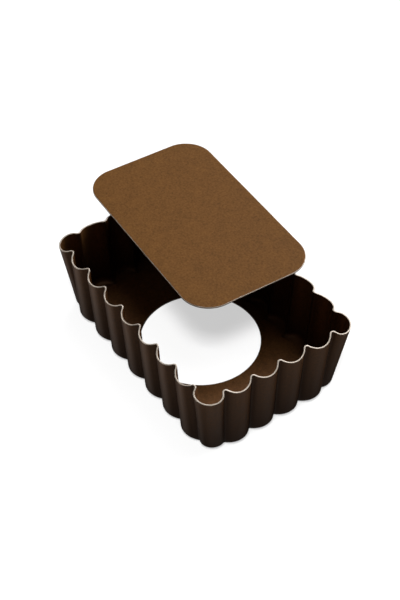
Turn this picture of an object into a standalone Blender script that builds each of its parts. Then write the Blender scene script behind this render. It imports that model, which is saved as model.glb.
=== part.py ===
"""Small rectangular fluted tart pan with a loose bottom.

Two pressed pieces: the fluted shell, one sheet with a round push-up hole in its
floor, and the loose bottom, a flat plate that lifts away from the shell.
Metres, +Z up. The pan stands on z = 0 with its long sides along X, and the
origin is under the middle of the two pieces taken together.
"""
import math

import bmesh
import bpy

# Driving dimensions, metres.
SHEET = 0.0005                 # thickness of the pressed sheet
HEIGHT = 0.0318                # floor underside to the rim, at a fold
RIM_DROP = 0.0014              # how far the rim dips at the crown of a flute
LONG_FLUTES = 7                # flutes between the corner flutes, long side
SHORT_FLUTES = 4               # flutes between the corner flutes, short side

RIM_HALF_X = 0.0468            # centre to the folds, at the rim
RIM_HALF_Y = 0.0302
RIM_LONG_PITCH = 0.01120       # fold to fold, at the rim
RIM_SHORT_PITCH = 0.01144
RIM_DEPTH = 0.0030             # fold to crown of a flute, at the rim
RIM_CORNER_DEPTH = 0.0045      # the same for the flute on a corner

FOOT_HALF_X = 0.0459           # the same sizes at the foot of the wall
FOOT_HALF_Y = 0.0287
FOOT_LONG_PITCH = 0.01140
FOOT_SHORT_PITCH = 0.01090
FOOT_DEPTH = 0.0025
FOOT_CORNER_DEPTH = 0.0011

FOOT_RADIUS = 0.0028           # rounding between wall and floor, outside
FLOOR_SHARE = 0.55             # how much of a flute is left where the flat floor starts
FOLD_RADIUS = 0.0008           # tight fold between two flutes, outside
HOLE_RADIUS = 0.0228           # push-up hole in the floor

PLATE_HALF_X = 0.0425          # loose bottom
PLATE_HALF_Y = 0.0258
PLATE_CORNER = 0.0114
PLATE_THICK = 0.0006
PLATE_EDGE = 0.00012           # broken edge of the loose bottom
PLATE_SHIFT_X = -0.0262        # where the loose bottom lies, from the pan's centre
PLATE_SHIFT_Y = 0.0165
PLATE_YAW = math.radians(-3.0)
REST_GAP = 0.0003              # air between the loose bottom and the rim

# Steps of the mesh.
FOLD_STEPS = 2                 # round half of a fold
CROWN_STEPS = 8                # round the crown of a flute
FOOT_STEPS = 4                 # round the foot
WALL_STEPS = 2                 # up the wall
CORNER_STEPS = 12              # round a corner of the loose bottom
FLOOR_BORDER = 0.0010          # flat border between the foot and the rest of the floor
SHARP_ANGLE = math.radians(40.0)

COATING = (0.110, 0.060, 0.027)
COATING_DARK = (0.075, 0.042, 0.022)


def mix(start, end, part):
    """Value a given part of the way from start to end."""
    return start + (end - start) * part


def flute(pitch, depth):
    """One flute from its first fold up to, not including, the next: (along, out)."""
    reach = (depth ** 2 + pitch ** 2 / 4.0) / (2.0 * depth)
    turn = math.asin(pitch / 2.0 / reach)
    crown = reach - FOLD_RADIUS
    points = []
    for step in range(FOLD_STEPS):
        angle = turn * step / FOLD_STEPS
        points.append((FOLD_RADIUS * math.sin(angle), FOLD_RADIUS * (1.0 - math.cos(angle))))
    for step in range(CROWN_STEPS + 1):
        angle = turn * (1.0 - 2.0 * step / CROWN_STEPS)
        points.append((pitch / 2.0 - crown * math.sin(angle), depth - crown * (1.0 - math.cos(angle))))
    for step in range(1, FOLD_STEPS):
        angle = turn * (1.0 - step / FOLD_STEPS)
        along = pitch - FOLD_RADIUS * math.sin(angle)
        points.append((along, FOLD_RADIUS * (1.0 - math.cos(angle))))
    return points


def section(half_x, half_y, long_pitch, short_pitch, depth, corner_depth, inset=0.0):
    """Outline of the fluted wall, anticlockwise: (x, y, share of the full flute depth)."""
    straight_x = LONG_FLUTES * long_pitch / 2.0
    straight_y = SHORT_FLUTES * short_pitch / 2.0
    half_x = half_x - inset
    half_y = half_y - inset
    radius_x = half_x - straight_x
    radius_y = half_y - straight_y
    outline = []
    for quarter in range(4):
        cos_q = (1, 0, -1, 0)[quarter]
        sin_q = (0, 1, 0, -1)[quarter]
        on_short = quarter % 2 == 0
        count = SHORT_FLUTES if on_short else LONG_FLUTES
        pitch = short_pitch if on_short else long_pitch
        face = half_x if on_short else half_y
        straight = straight_y if on_short else straight_x
        for index in range(count):
            for along, out in flute(pitch, depth):
                side = index * pitch + along - straight
                reach = face + out
                outline.append((cos_q * reach - sin_q * side, sin_q * reach + cos_q * side, out / depth))
        first = radius_x if on_short else radius_y
        second = radius_y if on_short else radius_x
        arc = (first + second) * math.pi / 4.0
        for along, out in flute(arc, corner_depth):
            angle = math.pi / 2.0 * along / arc
            reach = (face - first) + (first + out) * math.cos(angle)
            side = straight + (second + out) * math.sin(angle)
            outline.append((cos_q * reach - sin_q * side, sin_q * reach + cos_q * side, out / corner_depth))
    return outline


def wall_section(part):
    """Outline of the outside of the wall, part of the way from its foot to its rim."""
    return section(mix(FOOT_HALF_X, RIM_HALF_X, part), mix(FOOT_HALF_Y, RIM_HALF_Y, part),
                   mix(FOOT_LONG_PITCH, RIM_LONG_PITCH, part),
                   mix(FOOT_SHORT_PITCH, RIM_SHORT_PITCH, part),
                   mix(FOOT_DEPTH, RIM_DEPTH, part),
                   mix(FOOT_CORNER_DEPTH, RIM_CORNER_DEPTH, part))


def foot_section(angle):
    """Outline round the foot: angle 0 where the floor starts, a right angle at the wall."""
    part = math.sin(angle)
    return section(FOOT_HALF_X, FOOT_HALF_Y, FOOT_LONG_PITCH, FOOT_SHORT_PITCH,
                   mix(FLOOR_SHARE, 1.0, part) * FOOT_DEPTH,
                   mix(FLOOR_SHARE, 1.0, part) * FOOT_CORNER_DEPTH,
                   FOOT_RADIUS * (1.0 - part))


def shell_rings():
    """Rings of the shell's outer skin, from the edge of the hole to the rim."""
    floor_edge = foot_section(0.0)
    hole = []
    border = []
    for x, y, _ in floor_edge:
        length = math.hypot(x, y)
        hole.append((x / length * HOLE_RADIUS, y / length * HOLE_RADIUS, 0.0))
        keep = (length - FLOOR_BORDER) / length
        border.append((x * keep, y * keep, 0.0))
    rings = [hole, border]
    for step in range(FOOT_STEPS + 1):
        angle = math.pi / 2.0 * step / FOOT_STEPS
        height = FOOT_RADIUS * (1.0 - math.cos(angle))
        rings.append([(x, y, height) for x, y, _ in foot_section(angle)])
    foot = foot_section(math.pi / 2.0)
    rim = wall_section(1.0)
    for step in range(1, WALL_STEPS + 1):
        ring = []
        for low, high in zip(foot, rim):
            top = HEIGHT - RIM_DROP * high[2]
            height = mix(FOOT_RADIUS, top, step / WALL_STEPS)
            part = (height - FOOT_RADIUS) / (HEIGHT - FOOT_RADIUS)
            ring.append((mix(low[0], high[0], part), mix(low[1], high[1], part), height))
        rings.append(ring)
    return rings


def plate_outline():
    """Rounded rectangle of the loose bottom, about its own centre."""
    outline = []
    for quarter in range(4):
        sign_x = (1, -1, -1, 1)[quarter]
        sign_y = (1, 1, -1, -1)[quarter]
        for step in range(CORNER_STEPS + 1):
            angle = math.pi / 2.0 * (quarter + step / CORNER_STEPS)
            outline.append((sign_x * (PLATE_HALF_X - PLATE_CORNER) + PLATE_CORNER * math.cos(angle),
                            sign_y * (PLATE_HALF_Y - PLATE_CORNER) + PLATE_CORNER * math.sin(angle)))
    return outline


def pan_centre():
    """Where the pan's centre goes, so that both pieces together are centred on the origin."""
    points = [(x, y) for x, y, _ in shell_rings()[-1]]
    for x, y in plate_outline():
        points.append((PLATE_SHIFT_X + x * math.cos(PLATE_YAW) - y * math.sin(PLATE_YAW),
                       PLATE_SHIFT_Y + x * math.sin(PLATE_YAW) + y * math.cos(PLATE_YAW)))
    spans = [(min(values), max(values)) for values in zip(*points)]
    return -sum(spans[0]) / 2.0, -sum(spans[1]) / 2.0


def coating(name, colour, roughness):
    """Non-stick coating over steel."""
    material = bpy.data.materials.new(name)
    material.use_nodes = True
    shader = material.node_tree.nodes["Principled BSDF"]
    shader.inputs["Base Color"].default_value = (*colour, 1.0)
    shader.inputs["Roughness"].default_value = roughness
    shader.inputs["Metallic"].default_value = 0.0
    return material


def add_object(name, work, material, location):
    """New object from a bmesh, shaded smooth except at its cut edges."""
    mesh = bpy.data.meshes.new(name)
    work.to_mesh(mesh)
    work.free()
    mesh.materials.append(material)
    mesh.shade_smooth()
    mesh.set_sharp_from_angle(angle=SHARP_ANGLE)
    item = bpy.data.objects.new(name, mesh)
    item.location = location
    bpy.context.scene.collection.objects.link(item)
    return item


def add_thickness(item, thickness, offset):
    """Give a skin the thickness of its sheet."""
    modifier = item.modifiers.new("sheet", "SOLIDIFY")
    modifier.thickness = thickness
    modifier.offset = offset
    modifier.use_even_offset = True
    modifier.use_quality_normals = True
    return modifier


def build_shell(centre):
    """Fluted shell: rings bridged into a skin, then given the sheet's thickness."""
    work = bmesh.new()
    loops = []
    for ring in shell_rings():
        verts = [work.verts.new(point) for point in ring]
        edges = [work.edges.new((verts[i - 1], verts[i])) for i in range(len(verts))]
        loops.append((verts, edges))
    for lower, upper in zip(loops, loops[1:]):
        for i in range(len(lower[0])):
            work.faces.new((lower[0][i - 1], upper[0][i - 1], upper[0][i], lower[0][i]))
    bmesh.ops.recalc_face_normals(work, faces=work.faces)
    work.normal_update()
    wall = max(work.faces, key=lambda face: face.calc_center_median().x)
    if wall.normal.x < 0.0:
        bmesh.ops.reverse_faces(work, faces=work.faces)
    shell = add_object("shell", work, coating("shell_coating", COATING_DARK, 0.42), (*centre, 0.0))
    add_thickness(shell, SHEET, -1.0)
    return shell


def build_plate(centre):
    """Loose bottom: a flat rounded rectangle with its edges just broken."""
    work = bmesh.new()
    verts = [work.verts.new((x, y, 0.0)) for x, y in plate_outline()]
    work.faces.new(verts)
    location = (centre[0] + PLATE_SHIFT_X, centre[1] + PLATE_SHIFT_Y, HEIGHT + REST_GAP)
    plate = add_object("loose_bottom", work, coating("plate_coating", COATING, 0.55), location)
    plate.rotation_euler = (0.0, 0.0, PLATE_YAW)
    add_thickness(plate, PLATE_THICK, 1.0)
    edge = plate.modifiers.new("edge", "BEVEL")
    edge.width = PLATE_EDGE
    edge.segments = 1
    edge.limit_method = "ANGLE"
    edge.angle_limit = SHARP_ANGLE
    return plate


for leftover in list(bpy.data.objects):
    bpy.data.objects.remove(leftover, do_unlink=True)

pan = pan_centre()
build_shell(pan)
build_plate(pan)
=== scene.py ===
"""Visual model of a small fluted tart pan with its loose bottom, and the studio it stands in.

Metres, +Z up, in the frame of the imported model. The pan's centre and outer sizes come from the frame.
"""
import math

import bmesh
import bpy
import numpy as np
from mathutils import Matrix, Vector


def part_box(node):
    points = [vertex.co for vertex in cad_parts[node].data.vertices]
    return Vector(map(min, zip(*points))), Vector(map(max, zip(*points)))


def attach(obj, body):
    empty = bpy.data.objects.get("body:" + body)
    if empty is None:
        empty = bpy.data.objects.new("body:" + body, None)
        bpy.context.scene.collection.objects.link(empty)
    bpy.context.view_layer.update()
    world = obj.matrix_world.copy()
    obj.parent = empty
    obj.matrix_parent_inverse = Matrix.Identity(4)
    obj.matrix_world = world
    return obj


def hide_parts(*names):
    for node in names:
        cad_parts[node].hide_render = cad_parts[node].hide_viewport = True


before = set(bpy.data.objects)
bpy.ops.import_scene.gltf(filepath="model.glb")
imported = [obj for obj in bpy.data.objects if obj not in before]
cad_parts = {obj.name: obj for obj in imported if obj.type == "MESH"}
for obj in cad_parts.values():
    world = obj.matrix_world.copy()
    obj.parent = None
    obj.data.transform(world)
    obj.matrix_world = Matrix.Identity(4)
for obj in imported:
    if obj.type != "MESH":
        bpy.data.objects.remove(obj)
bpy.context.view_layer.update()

# The pan, from the frame.
SHELL_LOW, SHELL_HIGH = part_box("shell")
PLATE_LOW, PLATE_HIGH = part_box("loose_bottom")
PAN_CENTRE = (SHELL_LOW + SHELL_HIGH) / 2.0
PLATE_CENTRE = (PLATE_LOW + PLATE_HIGH) / 2.0
HEIGHT = SHELL_HIGH.z - SHELL_LOW.z

# Fluted wall, metres.
SHEET = 0.0005                 # thickness of the pressed sheet
RIM_DROP = 0.0014              # how far the rim dips at the crown of a flute
LONG_FLUTES = 7
SHORT_FLUTES = 4
RIM_DEPTH = 0.0030             # fold to crown, at the rim
RIM_CORNER_DEPTH = 0.0045
RIM_HALF_X = (SHELL_HIGH.x - SHELL_LOW.x) / 2.0 - RIM_DEPTH
RIM_HALF_Y = (SHELL_HIGH.y - SHELL_LOW.y) / 2.0 - RIM_DEPTH
RIM_LONG_PITCH = 0.01120
RIM_SHORT_PITCH = 0.01144
FOOT_HALF_X = RIM_HALF_X - 0.0009
FOOT_HALF_Y = RIM_HALF_Y - 0.0015
FOOT_LONG_PITCH = 0.01140
FOOT_SHORT_PITCH = 0.01090
FOOT_DEPTH = 0.0025
FOOT_CORNER_DEPTH = 0.0011
FOOT_RADIUS = 0.0028
FLOOR_SHARE = 0.55             # how much of a flute is left where the flat floor starts
FOLD_RADIUS = 0.0008
HOLE_RADIUS = 0.0228
FLUTE_SPREAD = 0.03            # how much pressed flutes differ in depth
TRIM_WAVE = 0.00008            # unevenness of the trimmed rim
TRIM_WAVES = ((9.0, 1.0), (23.0, 0.0), (41.0, 2.0))    # its waves round the rim, and their phases
CUT_ROUND = 0.00012            # rounding of the sheet's cut edges

# Loose bottom, metres.
PLATE_YAW = math.radians(-3.0)
PLATE_CORNER = 0.0114
PLATE_THICK = PLATE_HIGH.z - PLATE_LOW.z
PLATE_ROUND = 0.00015

# Mesh steps.
FOLD_STEPS = 4
CROWN_STEPS = 14
FOOT_STEPS = 10
WALL_STEPS = 14
FLOOR_STOPS = (0.0, 0.02, 0.06, 0.15, 0.35, 0.6, 0.85, 0.97)    # rings, as shares from hole to foot
CORNER_STEPS = 32
PLATE_STOPS = (0.0008, 0.002, 0.005, 0.010)    # rings, in from the plate's edge
ROUND_STEPS = 2
CUT_ANGLE = math.radians(50.0)    # an edge that turns more than this is a cut edge
RIM_CROWDING = 1.5             # power by which the wall's rings crowd towards the rim

# Coating and bare steel. Colours are linear RGB, and the scales of the noises are cells per metre.
SHELL_COATING = {
    "light": (0.225, 0.094, 0.028),
    "dark": (0.108, 0.047, 0.014),
    "roughness": 0.38,
    "gloss": 0.29,             # specular level
    "sheen": 0.36,             # metallic share
    "worn": 0.0004,            # how far from a cut edge the coating may be worn off
    "drawn": 0.08,             # strength of the faint lines that drawing left up the walls
}
PLATE_COATING = {
    "light": (0.232, 0.102, 0.026),
    "dark": (0.096, 0.041, 0.010),
    "roughness": 0.55,
    "gloss": 0.057,
    "sheen": 0.0,
    "worn": 0.0003,
    "drawn": 0.0,
}
NOISE_SPAN = (0.3, 0.7)        # where nearly all of a noise's values lie
SPECKLE_SCALE = 1300.0
SPECKLE_SPAN = (0.25, 0.75)
SPECKLE_ROUGHNESS = 0.05
MOTTLE_SCALE = 190.0
MOTTLE_ROUGHNESS = 0.04
MOTTLE_SHARE = 0.2             # mottle's part in the coating's shade, against the speckle's
DRAWN_SCALE = 650.0
DRAWN_STRETCH = (1.0, 1.0, 0.06)
COATING_TINT = (1.0, 0.90, 0.84)
# Painted shade: the colour that the coating is darkened towards in the folds, round the foot and where the
# floor meets the wall.
PAINTED_SHADE_COATING = (0.022, 0.009, 0.004)
FLOOR_TONE = 0.60              # painted shade: how light the coating is where the floor ends, against the rim
FOOT_TONE = 0.12               # the same for the foot of the wall
FOLD_TONE = 0.30               # the same for a fold, against a crown
FLOOR_FALL = 4                 # powers by which the tone changes over the floor and across a flute
FOLD_FALL = 0.5
DULL_TONE = 0.15               # painted-shade tone from which down the gloss is at its lowest
DULL_GLOSS = 0.4               # share of the gloss there, and in the lightest tone
BRIGHT_GLOSS = 1.4
WORN_STEEL = (0.50, 0.42, 0.34)
WORN_METALLIC = 0.45
WORN_FADE = 0.00008
RAGGED_SCALE = 900.0
RAGGED_SPAN = (0.35, 0.75)
PEEL_SCALE = 520.0
PEEL_DEPTH = 0.00003
PEEL_STRENGTH = 0.4
GRAIN_SCALE = 3600.0
GRAIN_DEPTH = 0.000009
GRAIN_STRENGTH = 0.5
CUT_STEEL = (0.66, 0.57, 0.48)
CUT_METALLIC = 0.15
CUT_ROUGHNESS = (0.28, 0.5)
SHEAR_SCALE = 5200.0
SHEAR_STRETCH = (1.0, 1.0, 0.25)
SHEAR_DEPTH = 0.00002
SHEAR_STRENGTH = 0.4
STAIN_SCALE = 260.0
STAIN_SPAN = (0.35, 0.7)

# Photograph's viewpoint, round the pan's centre.
CAMERA_AIM = Vector((-0.0170, 0.0117, 0.0))
CAMERA_AZIMUTH = 54.96
CAMERA_ELEVATION = 46.22
CAMERA_DISTANCE = 0.4935
CAMERA_LENS = 76.1
CAMERA_CLIP = 0.01

# Light. Each glow of the surroundings: azimuth, elevation, half width, brightness. Those below the
# horizon reach the outer walls through the floor, which blocks no light and is reflected by nothing.
WORLD_BASE = 0.02
WORLD_GLOWS = (
    (195.0, 66.0, 34.0, 2.56),
    (191.0, 27.0, 40.0, 4.86),
    (92.0, -46.0, 56.0, 0.26),
    (322.0, -29.0, 38.0, 0.62),
    (10.0, -40.0, 56.0, 0.1),
    (15.0, 52.0, 28.0, 0.35),
)
FLOOR_KEY = {"azimuth": 46.0, "elevation": 67.0, "distance": 1.6, "size": 0.40, "power": 29.0}
FLOOR_GLOW = 0.565
FLOOR_PALE = (0.35, 0.35, 0.35)
FLOOR_PALER = (0.36, 0.36, 0.36)
FLOOR_ROUGHNESS = 0.9
FLOOR_GRAIN_SCALE = 40.0
FLOOR_REACH = 3.0
FLOOR_DROP = 0.0001
FLOOR_SIDES = 96
SWEEP_RADIUS = 2.5
SWEEP_STEPS = 12
FLAG_BLACK = (0.0, 0.0, 0.0)
FLAG_GREY = (0.002, 0.002, 0.002)
FLAG_GRAIN_SCALE = 400.0
FLAG_RADIUS = 0.027
FLAG_SIDES = 48
FLAG_DROP = 0.0008

random = np.random.default_rng(7)


def mix(start, end, part):
    """Value a given part of the way from start to end."""
    return start + (end - start) * part


# Geometry.

def flute(pitch, depth):
    """One flute from its first fold up to, not including, the next: (along, out)."""
    reach = (depth ** 2 + pitch ** 2 / 4.0) / (2.0 * depth)
    turn = math.asin(pitch / 2.0 / reach)
    crown = reach - FOLD_RADIUS
    points = []
    for step in range(FOLD_STEPS):
        angle = turn * step / FOLD_STEPS
        points.append((FOLD_RADIUS * math.sin(angle), FOLD_RADIUS * (1.0 - math.cos(angle))))
    for step in range(CROWN_STEPS + 1):
        angle = turn * (1.0 - 2.0 * step / CROWN_STEPS)
        points.append((pitch / 2.0 - crown * math.sin(angle), depth - crown * (1.0 - math.cos(angle))))
    for step in range(1, FOLD_STEPS):
        angle = turn * (1.0 - step / FOLD_STEPS)
        points.append((pitch - FOLD_RADIUS * math.sin(angle), FOLD_RADIUS * (1.0 - math.cos(angle))))
    return points


FLUTE_COUNT = 2 * (LONG_FLUTES + SHORT_FLUTES) + 4
FLUTE_EASE = 1.0 - FLUTE_SPREAD * random.random(FLUTE_COUNT)


def section(half_x, half_y, long_pitch, short_pitch, depth, corner_depth, inset=0.0):
    """Outline of the fluted wall, anticlockwise: rows of x, y and share of the full flute depth."""
    straight_x = LONG_FLUTES * long_pitch / 2.0
    straight_y = SHORT_FLUTES * short_pitch / 2.0
    half_x = half_x - inset
    half_y = half_y - inset
    radius_x = half_x - straight_x
    radius_y = half_y - straight_y
    ease = iter(FLUTE_EASE)
    outline = []
    for quarter in range(4):
        cos_q = (1, 0, -1, 0)[quarter]
        sin_q = (0, 1, 0, -1)[quarter]
        on_short = quarter % 2 == 0
        count = SHORT_FLUTES if on_short else LONG_FLUTES
        pitch = short_pitch if on_short else long_pitch
        face = half_x if on_short else half_y
        straight = straight_y if on_short else straight_x
        for index in range(count):
            own_depth = depth * next(ease)
            for along, out in flute(pitch, own_depth):
                side = index * pitch + along - straight
                reach = face + out
                outline.append((cos_q * reach - sin_q * side, sin_q * reach + cos_q * side, out / own_depth))
        first = radius_x if on_short else radius_y
        second = radius_y if on_short else radius_x
        arc = (first + second) * math.pi / 4.0
        own_depth = corner_depth * next(ease)
        for along, out in flute(arc, own_depth):
            angle = math.pi / 2.0 * along / arc
            reach = (face - first) + (first + out) * math.cos(angle)
            side = straight + (second + out) * math.sin(angle)
            outline.append((cos_q * reach - sin_q * side, sin_q * reach + cos_q * side, out / own_depth))
    return np.array(outline)


def foot_section(angle):
    """Outline round the foot: angle 0 where the floor starts, a right angle at the wall."""
    part = math.sin(angle)
    keep = mix(FLOOR_SHARE, 1.0, part)
    return section(FOOT_HALF_X, FOOT_HALF_Y, FOOT_LONG_PITCH, FOOT_SHORT_PITCH,
                   keep * FOOT_DEPTH, keep * FOOT_CORNER_DEPTH, FOOT_RADIUS * (1.0 - part))


def fold_tone(share):
    """Painted shade across a flute, from its share of the full depth: dark in the fold, light on the crown.
    """
    return mix(FOLD_TONE, 1.0, np.clip(share, 0.0, 1.0) ** FOLD_FALL)


def shell_rings():
    """Rings of the shell's outer skin, hole to rim: rows of x, y, z, distance to a cut edge, tone.

    Tone is painted shade: the coating is painted darker in the folds, round the foot and where the floor
    meets the wall, where shade falls.
    """
    floor_edge = foot_section(0.0)
    reach = np.hypot(floor_edge[:, 0], floor_edge[:, 1])
    hole = floor_edge[:, :2] / reach[:, None] * HOLE_RADIUS
    rings = []
    for stop in FLOOR_STOPS:
        flat = mix(hole, floor_edge[:, :2], stop)
        cut = np.hypot(flat[:, 0], flat[:, 1]) - HOLE_RADIUS
        tone = np.full(len(flat), mix(1.0, FLOOR_TONE, stop ** FLOOR_FALL))
        rings.append(np.column_stack([flat, np.zeros(len(flat)), cut, tone]))
    far = np.full(len(floor_edge), HEIGHT)
    for step in range(FOOT_STEPS + 1):
        angle = math.pi / 2.0 * step / FOOT_STEPS
        outline = foot_section(angle)
        height = np.full(len(outline), FOOT_RADIUS * (1.0 - math.cos(angle)))
        tone = mix(FLOOR_TONE, FOOT_TONE, step / FOOT_STEPS) * fold_tone(outline[:, 2])
        rings.append(np.column_stack([outline[:, :2], height, far, tone]))
    foot = foot_section(math.pi / 2.0)
    rim = section(RIM_HALF_X, RIM_HALF_Y, RIM_LONG_PITCH, RIM_SHORT_PITCH, RIM_DEPTH, RIM_CORNER_DEPTH)
    around = np.arctan2(rim[:, 1], rim[:, 0])
    wave = sum(np.sin(count * around + phase) for count, phase in TRIM_WAVES) / len(TRIM_WAVES)
    top = HEIGHT - RIM_DROP * rim[:, 2] + TRIM_WAVE * (wave - 1.0)
    for step in range(1, WALL_STEPS + 1):
        height = mix(FOOT_RADIUS, top, 1.0 - (1.0 - step / WALL_STEPS) ** RIM_CROWDING)
        part = ((height - FOOT_RADIUS) / (HEIGHT - FOOT_RADIUS))[:, None]
        flat = mix(foot[:, :2], rim[:, :2], part)
        tone = mix(FOOT_TONE, 1.0, part[:, 0]) * fold_tone(rim[:, 2])
        rings.append(np.column_stack([flat, height, top - height, tone]))
    return rings


def mesh_from_rings(name, rings, cap=False):
    """Skin bridged between closed rings of equal length, with the rings' extra columns as attributes."""
    rows = np.concatenate(rings)
    count = len(rings[0])
    faces = []
    for level in range(len(rings) - 1):
        for index in range(count):
            after = (index + 1) % count
            faces.append((level * count + index, level * count + after,
                          (level + 1) * count + after, (level + 1) * count + index))
    if cap:
        faces.append(tuple(reversed(range(count))))
    mesh = bpy.data.meshes.new(name)
    mesh.from_pydata(rows[:, :3].tolist(), [], faces)
    for column, label in ((3, "cut_distance"), (4, "tone")):
        values = mesh.attributes.new(label, "FLOAT", "POINT")
        values.data.foreach_set("value", rows[:, column].astype(np.float32))
    mesh.shade_smooth()
    return mesh


def give_thickness(item, thickness, edge_round):
    """Turn a skin into sheet behind it, with its cut edges rounded and in the second material."""
    sheet = item.modifiers.new("sheet", "SOLIDIFY")
    sheet.thickness = thickness
    sheet.offset = -1.0
    sheet.use_even_offset = True
    sheet.use_quality_normals = True
    sheet.material_offset_rim = 1
    rounding = item.modifiers.new("cut_edges", "BEVEL")
    rounding.width = edge_round
    rounding.segments = ROUND_STEPS
    rounding.limit_method = "ANGLE"
    rounding.angle_limit = CUT_ANGLE
    rounding.material = 1
    rounding.harden_normals = False


def build_shell():
    """The fluted shell, in place of its CAD node."""
    mesh = mesh_from_rings("fluted_shell", shell_rings())
    shell = bpy.data.objects.new("fluted_shell", mesh)
    bpy.context.scene.collection.objects.link(shell)
    shell.location = (PAN_CENTRE.x, PAN_CENTRE.y, SHELL_LOW.z)
    give_thickness(shell, SHEET, CUT_ROUND)
    return shell


def plate_ring(inset):
    """Rounded rectangle of the loose bottom, drawn in by inset."""
    turn_x = abs(math.cos(PLATE_YAW))
    turn_y = abs(math.sin(PLATE_YAW))
    size = PLATE_HIGH - PLATE_LOW
    flat_x = size.x / 2.0 - PLATE_CORNER
    flat_y = size.y / 2.0 - PLATE_CORNER
    spread = turn_x ** 2 - turn_y ** 2
    straight_x = (flat_x * turn_x - flat_y * turn_y) / spread
    straight_y = (flat_y * turn_x - flat_x * turn_y) / spread
    radius = PLATE_CORNER - inset
    rows = []
    for quarter in range(4):
        sign_x = (1, -1, -1, 1)[quarter]
        sign_y = (1, 1, -1, -1)[quarter]
        for step in range(CORNER_STEPS + 1):
            angle = math.pi / 2.0 * (quarter + step / CORNER_STEPS)
            x = sign_x * straight_x + radius * math.cos(angle)
            y = sign_y * straight_y + radius * math.sin(angle)
            rows.append((x * math.cos(PLATE_YAW) - y * math.sin(PLATE_YAW),
                         x * math.sin(PLATE_YAW) + y * math.cos(PLATE_YAW), 0.0, inset, 1.0))
    return np.array(rows)


def build_plate():
    """The loose bottom, in place of its CAD node."""
    insets = (0.0,) + PLATE_STOPS
    mesh = mesh_from_rings("flat_bottom", [plate_ring(inset) for inset in reversed(insets)], cap=True)
    plate = bpy.data.objects.new("flat_bottom", mesh)
    bpy.context.scene.collection.objects.link(plate)
    plate.location = (PLATE_CENTRE.x, PLATE_CENTRE.y, PLATE_LOW.z)
    give_thickness(plate, PLATE_THICK, PLATE_ROUND)
    return plate


# Materials.

class Graph:
    """Shorthand for a material's node tree."""

    def __init__(self, name):
        self.material = bpy.data.materials.new(name)
        self.material.use_nodes = True
        self.tree = self.material.node_tree
        self.shader = self.tree.nodes["Principled BSDF"]

    def add(self, kind, **settings):
        """New node with these properties."""
        node = self.tree.nodes.new("ShaderNode" + kind)
        for name, value in settings.items():
            setattr(node, name, value)
        return node

    def link(self, output, target):
        """Join an output socket to an input socket."""
        self.tree.links.new(output, target)

    def noise(self, scale, detail=2.0, stretch=(1.0, 1.0, 1.0), roughness=0.5):
        """Noise over the piece's own coordinates, scale in cells per metre."""
        place = self.add("TexCoord")
        mapping = self.add("Mapping")
        mapping.inputs["Scale"].default_value = stretch
        self.link(place.outputs["Object"], mapping.inputs["Vector"])
        texture = self.add("TexNoise")
        texture.inputs["Scale"].default_value = scale
        texture.inputs["Detail"].default_value = detail
        texture.inputs["Roughness"].default_value = roughness
        self.link(mapping.outputs["Vector"], texture.inputs["Vector"])
        return texture.outputs["Fac"]

    def attribute(self, name):
        """Value of a mesh attribute."""
        node = self.add("Attribute", attribute_name=name)
        return node.outputs["Fac"]

    def fit(self, value, low, high, start, end, smooth=False):
        """Value mapped from low..high to start..end and kept inside."""
        node = self.add("MapRange", interpolation_type="SMOOTHSTEP" if smooth else "LINEAR", clamp=True)
        for name, number in (("From Min", low), ("From Max", high), ("To Min", start), ("To Max", end)):
            node.inputs[name].default_value = number
        self.link(value, node.inputs["Value"])
        return node.outputs["Result"]

    def maths(self, operation, first, second):
        """Arithmetic on two values, each a socket or a number."""
        node = self.add("Math", operation=operation)
        for index, value in enumerate((first, second)):
            if isinstance(value, (int, float)):
                node.inputs[index].default_value = value
            else:
                self.link(value, node.inputs[index])
        return node.outputs["Value"]

    def blend(self, share, first, second):
        """Colour between first and second, each a socket or an RGB colour."""
        node = self.add("Mix", data_type="RGBA")
        self.link(share, node.inputs["Factor"])
        for name, value in (("A", first), ("B", second)):
            target = next(s for s in node.inputs if s.name == name and s.type == "RGBA")
            if isinstance(value, tuple):
                target.default_value = (*value, 1.0)
            else:
                self.link(value, target)
        return next(s for s in node.outputs if s.type == "RGBA")

    def bump(self, height, depth, strength, under=None):
        """Bump from a 0 to 1 height that stands for depth metres, over another bump if under is given."""
        node = self.add("Bump")
        node.inputs["Strength"].default_value = strength
        node.inputs["Distance"].default_value = depth
        self.link(height, node.inputs["Height"])
        if under is not None:
            self.link(under, node.inputs["Normal"])
        return node.outputs["Normal"]


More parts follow.
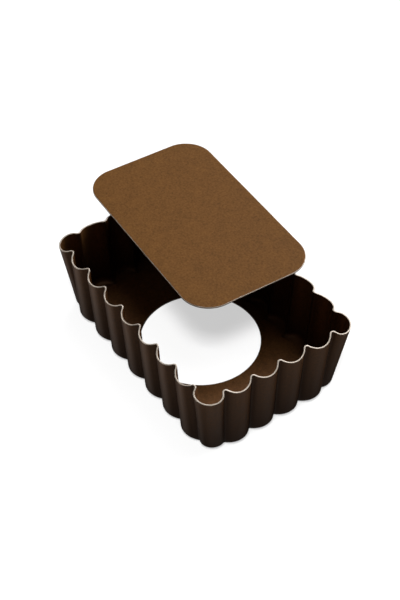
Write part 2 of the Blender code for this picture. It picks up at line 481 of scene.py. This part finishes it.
def coating_material(name, light, dark, roughness, gloss, sheen, worn, drawn):
    """Baked-on non-stick coating: speckled, softly mottled brown, worn to bare steel along the cut edges."""
    graph = Graph(name)
    tone = graph.attribute("tone")
    speckle = graph.noise(SPECKLE_SCALE, detail=3.0, roughness=0.6)
    mottle = graph.noise(MOTTLE_SCALE, detail=3.0, roughness=0.6)
    lines = graph.noise(DRAWN_SCALE, stretch=DRAWN_STRETCH)
    ragged = graph.noise(RAGGED_SCALE, detail=4.0, roughness=0.65)

    shade = graph.fit(speckle, *SPECKLE_SPAN, 0.0, 1.0 - MOTTLE_SHARE)
    shade = graph.maths("ADD", shade, graph.fit(mottle, *NOISE_SPAN, 0.0, MOTTLE_SHARE))
    shade = graph.maths("ADD", shade, graph.fit(lines, *NOISE_SPAN, -drawn, drawn))
    # Painted shade: where the tone is low, the coating is darkened towards the shade colour.
    colour = graph.blend(tone, PAINTED_SHADE_COATING, graph.blend(shade, dark, light))
    distance = graph.attribute("cut_distance")
    distance = graph.maths("SUBTRACT", distance, graph.fit(ragged, *RAGGED_SPAN, 0.0, worn))
    bare = graph.fit(distance, 0.0, WORN_FADE, 1.0, 0.0, smooth=True)
    graph.link(graph.blend(bare, colour, WORN_STEEL), graph.shader.inputs["Base Color"])
    graph.link(graph.fit(bare, 0.0, 1.0, sheen, WORN_METALLIC), graph.shader.inputs["Metallic"])

    satin = graph.fit(speckle, *NOISE_SPAN, roughness - SPECKLE_ROUGHNESS, roughness + SPECKLE_ROUGHNESS)
    satin = graph.maths("ADD", satin, graph.fit(mottle, *NOISE_SPAN, -MOTTLE_ROUGHNESS, MOTTLE_ROUGHNESS))
    graph.link(satin, graph.shader.inputs["Roughness"])
    # The gloss dims with the same painted shade.
    shine = graph.fit(tone, DULL_TONE, 1.0, DULL_GLOSS * gloss, BRIGHT_GLOSS * gloss)
    shine = graph.maths("MULTIPLY", shine, graph.fit(lines, *NOISE_SPAN, 1.0 - drawn, 1.0 + drawn))
    graph.link(shine, graph.shader.inputs["Specular IOR Level"])
    graph.shader.inputs["Specular Tint"].default_value = (*COATING_TINT, 1.0)

    peel = graph.bump(graph.noise(PEEL_SCALE), PEEL_DEPTH, PEEL_STRENGTH)
    grain = graph.bump(graph.noise(GRAIN_SCALE), GRAIN_DEPTH, GRAIN_STRENGTH, under=peel)
    graph.link(grain, graph.shader.inputs["Normal"])
    return graph.material


def cut_steel_material():
    """Bare cut edge of the sheet: bright, with fine shear marks across it."""
    graph = Graph("cut_steel")
    marks = graph.noise(SHEAR_SCALE, stretch=SHEAR_STRETCH)
    stain = graph.fit(graph.noise(STAIN_SCALE, detail=3.0), *STAIN_SPAN, 0.0, 1.0)
    graph.link(graph.blend(stain, CUT_STEEL, WORN_STEEL), graph.shader.inputs["Base Color"])
    graph.shader.inputs["Metallic"].default_value = CUT_METALLIC
    graph.link(graph.fit(marks, *NOISE_SPAN, *CUT_ROUGHNESS), graph.shader.inputs["Roughness"])
    graph.link(graph.bump(marks, SHEAR_DEPTH, SHEAR_STRENGTH), graph.shader.inputs["Normal"])
    return graph.material


def floor_material():
    """Plain pale studio floor, lit a little from within like a light table, so that shadows stay soft."""
    graph = Graph("studio_floor")
    grain = graph.noise(FLOOR_GRAIN_SCALE)
    graph.link(graph.blend(grain, FLOOR_PALE, FLOOR_PALER), graph.shader.inputs["Base Color"])
    graph.shader.inputs["Roughness"].default_value = FLOOR_ROUGHNESS
    graph.shader.inputs["Specular IOR Level"].default_value = 0.0
    graph.shader.inputs["Emission Color"].default_value = (1.0, 1.0, 1.0, 1.0)
    graph.shader.inputs["Emission Strength"].default_value = FLOOR_GLOW
    return graph.material


# Stage.

def add_floor():
    """Flat floor that sweeps up into a backdrop all round, and lets the surroundings light the pan."""
    rings = []
    for step in range(SWEEP_STEPS + 1):
        angle = math.pi / 2.0 * step / SWEEP_STEPS
        reach = FLOOR_REACH + SWEEP_RADIUS * math.sin(angle)
        height = SWEEP_RADIUS * (1.0 - math.cos(angle))
        around = [2.0 * math.pi * side / FLOOR_SIDES for side in range(FLOOR_SIDES)]
        rows = [(reach * math.cos(a), reach * math.sin(a), height, 0.0, 1.0) for a in around]
        rings.append(np.array(rows))
    mesh = mesh_from_rings("floor", rings, cap=True)
    mesh.materials.append(floor_material())
    floor = bpy.data.objects.new("floor", mesh)
    floor.location = (PAN_CENTRE.x, PAN_CENTRE.y, SHELL_LOW.z - FLOOR_DROP)
    floor.visible_diffuse = False
    floor.visible_glossy = False
    floor.visible_shadow = False
    bpy.context.scene.collection.objects.link(floor)
    return floor


def add_flag():
    """Black disc just under the floor, which keeps stray light from below out of the pan's hole."""
    mesh = bpy.data.meshes.new("flag")
    work = bmesh.new()
    bmesh.ops.create_circle(work, cap_ends=True, segments=FLAG_SIDES, radius=FLAG_RADIUS)
    work.to_mesh(mesh)
    work.free()
    graph = Graph("black_flag")
    grain = graph.noise(FLAG_GRAIN_SCALE)
    graph.link(graph.blend(grain, FLAG_BLACK, FLAG_GREY), graph.shader.inputs["Base Color"])
    graph.shader.inputs["Specular IOR Level"].default_value = 0.0
    mesh.materials.append(graph.material)
    flag = bpy.data.objects.new("flag", mesh)
    flag.location = (PAN_CENTRE.x, PAN_CENTRE.y, SHELL_LOW.z - FLAG_DROP)
    bpy.context.scene.collection.objects.link(flag)
    return flag


def direction(azimuth, elevation):
    """Unit vector from the pan towards a place round it, in degrees, azimuth as for the camera."""
    side = math.radians(azimuth)
    up = math.radians(elevation)
    return Vector((math.sin(side) * math.cos(up), -math.cos(side) * math.cos(up), math.sin(up)))


def add_softbox(name, azimuth, elevation, distance, size, power, lit):
    """Square soft light aimed at the pan, placed round it as the camera is, for the pieces in lit."""
    away = direction(azimuth, elevation)
    data = bpy.data.lights.new(name, "AREA")
    data.shape = "SQUARE"
    data.size = size
    data.energy = power
    light = bpy.data.objects.new(name, data)
    light.location = Vector((PAN_CENTRE.x, PAN_CENTRE.y, 0.0)) + away * distance
    light.rotation_euler = away.to_track_quat("Z", "Y").to_euler()
    group = bpy.data.collections.new("lit_by_" + name)
    for item in lit:
        group.objects.link(item)
    light.light_linking.receiver_collection = group
    bpy.context.scene.collection.objects.link(light)
    return light


def add_world(base, glows):
    """Dim even surroundings with soft brighter areas: azimuth, elevation, half width, brightness."""
    world = bpy.data.worlds.new("studio")
    world.use_nodes = True
    tree = world.node_tree
    place = tree.nodes.new("ShaderNodeTexCoord")
    total = None
    for azimuth, elevation, half_width, brightness in glows:
        toward = tree.nodes.new("ShaderNodeVectorMath")
        toward.operation = "DOT_PRODUCT"
        toward.inputs[1].default_value = direction(azimuth, elevation)
        tree.links.new(place.outputs["Generated"], toward.inputs[0])
        glow = tree.nodes.new("ShaderNodeMapRange")
        glow.interpolation_type = "SMOOTHSTEP"
        glow.inputs["From Min"].default_value = math.cos(math.radians(half_width))
        glow.inputs["To Max"].default_value = brightness
        tree.links.new(toward.outputs["Value"], glow.inputs["Value"])
        add = tree.nodes.new("ShaderNodeMath")
        add.inputs[0].default_value = base
        tree.links.new(glow.outputs["Result"], add.inputs[1])
        if total is not None:
            tree.links.new(total, add.inputs[0])
        total = add.outputs["Value"]
    background = tree.nodes["Background"]
    background.inputs["Color"].default_value = (1.0, 1.0, 1.0, 1.0)
    tree.links.new(total, background.inputs["Strength"])
    bpy.context.scene.world = world


def add_camera():
    """Camera at the photograph's viewing angle."""
    data = bpy.data.cameras.new("camera")
    data.lens = CAMERA_LENS
    data.clip_start = CAMERA_CLIP
    camera = bpy.data.objects.new("camera", data)
    away = direction(CAMERA_AZIMUTH, CAMERA_ELEVATION)
    aim = Vector((PAN_CENTRE.x, PAN_CENTRE.y, 0.0)) + CAMERA_AIM
    camera.location = aim + away * CAMERA_DISTANCE
    camera.rotation_euler = away.to_track_quat("Z", "Y").to_euler()
    bpy.context.scene.collection.objects.link(camera)
    bpy.context.scene.camera = camera


steel = cut_steel_material()

shell = build_shell()
shell.data.materials.append(coating_material("shell_coating", **SHELL_COATING))
shell.data.materials.append(steel)
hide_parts("shell")
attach(shell, "pan")

plate = build_plate()
plate.data.materials.append(coating_material("plate_coating", **PLATE_COATING))
plate.data.materials.append(steel)
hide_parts("loose_bottom")
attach(plate, "bottom")

floor = add_floor()
add_flag()
add_softbox("floor_key", lit=[floor], **FLOOR_KEY)
add_world(WORLD_BASE, WORLD_GLOWS)
add_camera()
bpy.context.scene.view_settings.view_transform = "Standard"
